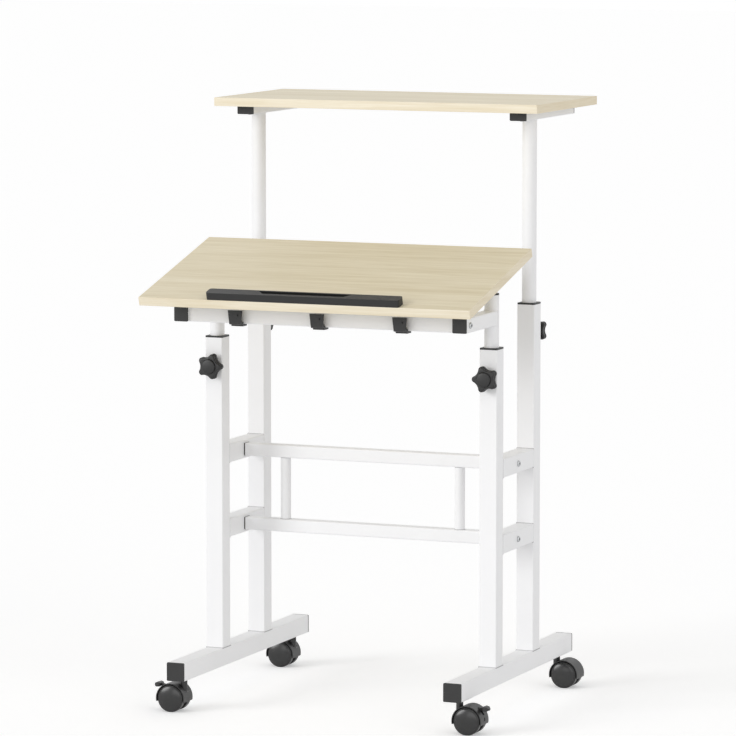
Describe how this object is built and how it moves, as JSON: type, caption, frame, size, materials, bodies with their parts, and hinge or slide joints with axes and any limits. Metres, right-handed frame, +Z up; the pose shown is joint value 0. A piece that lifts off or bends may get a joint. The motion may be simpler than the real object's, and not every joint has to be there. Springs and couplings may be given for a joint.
{
  "type": "mobile standing desk",
  "caption": "Wheeled standing desk: white steel frame on twin-wheel casters, tilting wooden desktop with laptop stop, raised rear shelf, knob-clamped height adjustment.",
  "frame": {"origin": "on the floor, under the middle of the overall width and depth", "axes": "+X to the right of a user at the desk, -Y towards the user, +Z up"},
  "size_m": [0.617, 0.615, 1.0405],
  "materials": {
    "white_steel": "white powder coat, fine texture, semi-gloss",
    "black_plastic": "black moulded plastic, fine grain",
    "caster_plastic": "black moulded nylon, smooth",
    "pale_wood": "pale laminated board, grain along its width, matching edge band",
    "zinc_steel": "zinc-plated steel"
  },
  "bodies": {
    "base": {"foot_left": "white_steel", "foot_right": "white_steel", "frame_caps": "black_plastic", "column_front_left": "white_steel", "column_front_right": "white_steel", "column_rear_left": "white_steel", "column_rear_right": "white_steel", "side_rungs_left": "white_steel", "side_rungs_right": "white_steel", "crossbar_upper": "white_steel", "crossbar_lower": "white_steel", "ladder_uprights": "white_steel", "frame_bolts": "zinc_steel", "column_collars": "black_plastic", "caster_stems": "zinc_steel"},
    "desk_frame": {"desk_tube_left": "white_steel", "desk_tube_right": "white_steel", "tube_plugs": "black_plastic", "desk_arm_left": "white_steel", "desk_arm_right": "white_steel", "arm_caps": "black_plastic", "desk_crossbar": "white_steel", "arm_bolts": "zinc_steel", "bag_hooks": "black_plastic", "hinge_brackets": "zinc_steel", "hinge_pins": "zinc_steel"},
    "desktop": {"desk_board": "pale_wood", "hinge_leaves": "zinc_steel", "hinge_screws": "zinc_steel", "laptop_stop": "black_plastic", "stop_screws": "zinc_steel"},
    "shelf_frame": {"shelf_tube_left": "white_steel", "shelf_tube_right": "white_steel", "shelf_rail_left": "white_steel", "shelf_rail_right": "white_steel", "rail_caps": "black_plastic", "shelf_board": "pale_wood", "shelf_screws": "zinc_steel"},
    "stud_front_left": {"stud_front_left": "zinc_steel"},
    "knob_front_left": {"knob_front_left": "black_plastic"},
    "stud_front_right": {"stud_front_right": "zinc_steel"},
    "knob_front_right": {"knob_front_right": "black_plastic"},
    "stud_rear_left": {"stud_rear_left": "zinc_steel"},
    "knob_rear_left": {"knob_rear_left": "black_plastic"},
    "stud_rear_right": {"stud_rear_right": "zinc_steel"},
    "knob_rear_right": {"knob_rear_right": "black_plastic"},
    "hood_front_left": {"hood_front_left": "caster_plastic"},
    "wheel_front_left_fore": {"wheel_front_left_fore": "caster_plastic"},
    "wheel_front_left_aft": {"wheel_front_left_aft": "caster_plastic"},
    "brake_left": {"brake_lever_left": "caster_plastic"},
    "hood_front_right": {"hood_front_right": "caster_plastic"},
    "wheel_front_right_fore": {"wheel_front_right_fore": "caster_plastic"},
    "wheel_front_right_aft": {"wheel_front_right_aft": "caster_plastic"},
    "brake_right": {"brake_lever_right": "caster_plastic"},
    "hood_rear_left": {"hood_rear_left": "caster_plastic"},
    "wheel_rear_left_fore": {"wheel_rear_left_fore": "caster_plastic"},
    "wheel_rear_left_aft": {"wheel_rear_left_aft": "caster_plastic"},
    "hood_rear_right": {"hood_rear_right": "caster_plastic"},
    "wheel_rear_right_fore": {"wheel_rear_right_fore": "caster_plastic"},
    "wheel_rear_right_aft": {"wheel_rear_right_aft": "caster_plastic"}
  },
  "joints": [
    {"name": "desk_lift", "type": "slide", "parent": "base", "child": "desk_frame", "axis": [0, 0, 1], "range_m": [-0.035, 0.35]},
    {"name": "shelf_lift", "type": "slide", "parent": "base", "child": "shelf_frame", "axis": [0, 0, 1], "range_m": [-0.15, 0.2]},
    {"name": "desk_tilt", "type": "hinge", "parent": "desk_frame", "child": "desktop", "pos_m": [0, -0.217, 0.7158], "axis": [1, 0, 0], "range_deg": [-15.3, 29.7]},
    {"name": "stud_feed_front_left", "type": "slide", "parent": "base", "child": "stud_front_left", "axis": [0, -1, 0], "range_m": [0, 0.0025]},
    {"name": "knob_turn_front_left", "type": "hinge", "parent": "stud_front_left", "child": "knob_front_left", "pos_m": [-0.254, -0.0835, 0.584], "axis": [0, -1, 0], "range_deg": [0, 720]},
    {"name": "stud_feed_front_right", "type": "slide", "parent": "base", "child": "stud_front_right", "axis": [0, -1, 0], "range_m": [0, 0.0025]},
    {"name": "knob_turn_front_right", "type": "hinge", "parent": "stud_front_right", "child": "knob_front_right", "pos_m": [0.254, -0.0835, 0.584], "axis": [0, -1, 0], "range_deg": [0, 720]},
    {"name": "stud_feed_rear_left", "type": "slide", "parent": "base", "child": "stud_rear_left", "axis": [0, 1, 0], "range_m": [0, 0.0025]},
    {"name": "knob_turn_rear_left", "type": "hinge", "parent": "stud_rear_left", "child": "knob_rear_left", "pos_m": [-0.254, 0.0955, 0.644], "axis": [0, 1, 0], "range_deg": [0, 720]},
    {"name": "stud_feed_rear_right", "type": "slide", "parent": "base", "child": "stud_rear_right", "axis": [0, 1, 0], "range_m": [0, 0.0025]},
    {"name": "knob_turn_rear_right", "type": "hinge", "parent": "stud_rear_right", "child": "knob_rear_right", "pos_m": [0.254, 0.0955, 0.644], "axis": [0, 1, 0], "range_deg": [0, 720]},
    {"name": "swivel_front_left", "type": "hinge", "parent": "base", "child": "hood_front_left", "pos_m": [-0.254, -0.2275, 0.0235], "axis": [0, 0, 1], "continuous": true},
    {"name": "roll_front_left_fore", "type": "hinge", "parent": "hood_front_left", "child": "wheel_front_left_fore", "pos_m": [-0.2725, -0.2275, 0.0235], "axis": [0, 1, 0], "continuous": true},
    {"name": "roll_front_left_aft", "type": "hinge", "parent": "hood_front_left", "child": "wheel_front_left_aft", "pos_m": [-0.2725, -0.2275, 0.0235], "axis": [0, 1, 0], "continuous": true},
    {"name": "brake_left", "type": "hinge", "parent": "hood_front_left", "child": "brake_left", "pos_m": [-0.2785, -0.2275, 0.0375], "axis": [0, -1, 0], "range_deg": [0, 18]},
    {"name": "swivel_front_right", "type": "hinge", "parent": "base", "child": "hood_front_right", "pos_m": [0.254, -0.2275, 0.0235], "axis": [0, 0, 1], "continuous": true},
    {"name": "roll_front_right_fore", "type": "hinge", "parent": "hood_front_right", "child": "wheel_front_right_fore", "pos_m": [0.2725, -0.2275, 0.0235], "axis": [0, 1, 0], "continuous": true},
    {"name": "roll_front_right_aft", "type": "hinge", "parent": "hood_front_right", "child": "wheel_front_right_aft", "pos_m": [0.2725, -0.2275, 0.0235], "axis": [0, 1, 0], "continuous": true},
    {"name": "brake_right", "type": "hinge", "parent": "hood_front_right", "child": "brake_right", "pos_m": [0.2785, -0.2275, 0.0375], "axis": [0, 1, 0], "range_deg": [0, 18]},
    {"name": "swivel_rear_left", "type": "hinge", "parent": "base", "child": "hood_rear_left", "pos_m": [-0.254, 0.2415, 0.0235], "axis": [0, 0, 1], "continuous": true},
    {"name": "roll_rear_left_fore", "type": "hinge", "parent": "hood_rear_left", "child": "wheel_rear_left_fore", "pos_m": [-0.2725, 0.2415, 0.0235], "axis": [0, 1, 0], "continuous": true},
    {"name": "roll_rear_left_aft", "type": "hinge", "parent": "hood_rear_left", "child": "wheel_rear_left_aft", "pos_m": [-0.2725, 0.2415, 0.0235], "axis": [0, 1, 0], "continuous": true},
    {"name": "swivel_rear_right", "type": "hinge", "parent": "base", "child": "hood_rear_right", "pos_m": [0.254, 0.2415, 0.0235], "axis": [0, 0, 1], "continuous": true},
    {"name": "roll_rear_right_fore", "type": "hinge", "parent": "hood_rear_right", "child": "wheel_rear_right_fore", "pos_m": [0.2725, 0.2415, 0.0235], "axis": [0, 1, 0], "continuous": true},
    {"name": "roll_rear_right_aft", "type": "hinge", "parent": "hood_rear_right", "child": "wheel_rear_right_aft", "pos_m": [0.2725, 0.2415, 0.0235], "axis": [0, 1, 0], "continuous": true}
  ],
  "couplings": [
    {"joint": "stud_feed_front_left", "follows": "knob_turn_front_left", "m_per_rad": 0.00019894},
    {"joint": "stud_feed_front_right", "follows": "knob_turn_front_right", "m_per_rad": 0.00019894},
    {"joint": "stud_feed_rear_left", "follows": "knob_turn_rear_left", "m_per_rad": 0.00019894},
    {"joint": "stud_feed_rear_right", "follows": "knob_turn_rear_right", "m_per_rad": 0.00019894}
  ]
}
